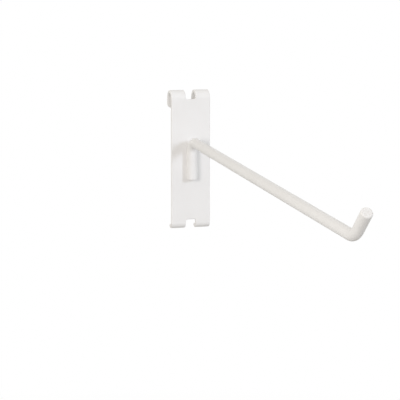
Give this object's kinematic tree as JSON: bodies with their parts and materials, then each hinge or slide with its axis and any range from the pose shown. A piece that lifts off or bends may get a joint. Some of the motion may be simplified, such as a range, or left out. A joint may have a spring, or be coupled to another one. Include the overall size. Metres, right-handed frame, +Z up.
{
  "type": "gridwall hook",
  "caption": "Straight wire display hook with an upturned tip, welded to a flat back plate whose bent ears and curved feet hang on a wire grid wall.",
  "frame": {"origin": "middle of the seat that the ears form around the upper grid wire, midway across the plate", "axes": "+X across the plate, along the grid wire; -Y out from the wall, the way the arm points; +Z up, along the plate"},
  "size_m": [0.0256, 0.3177, 0.0886],
  "materials": {
    "powder_coat": "white powder coat, semi-gloss, over steel"
  },
  "bodies": {
    "root": {"back_plate": "powder_coat", "hook_wire": "powder_coat"}
  },
  "joints": []
}
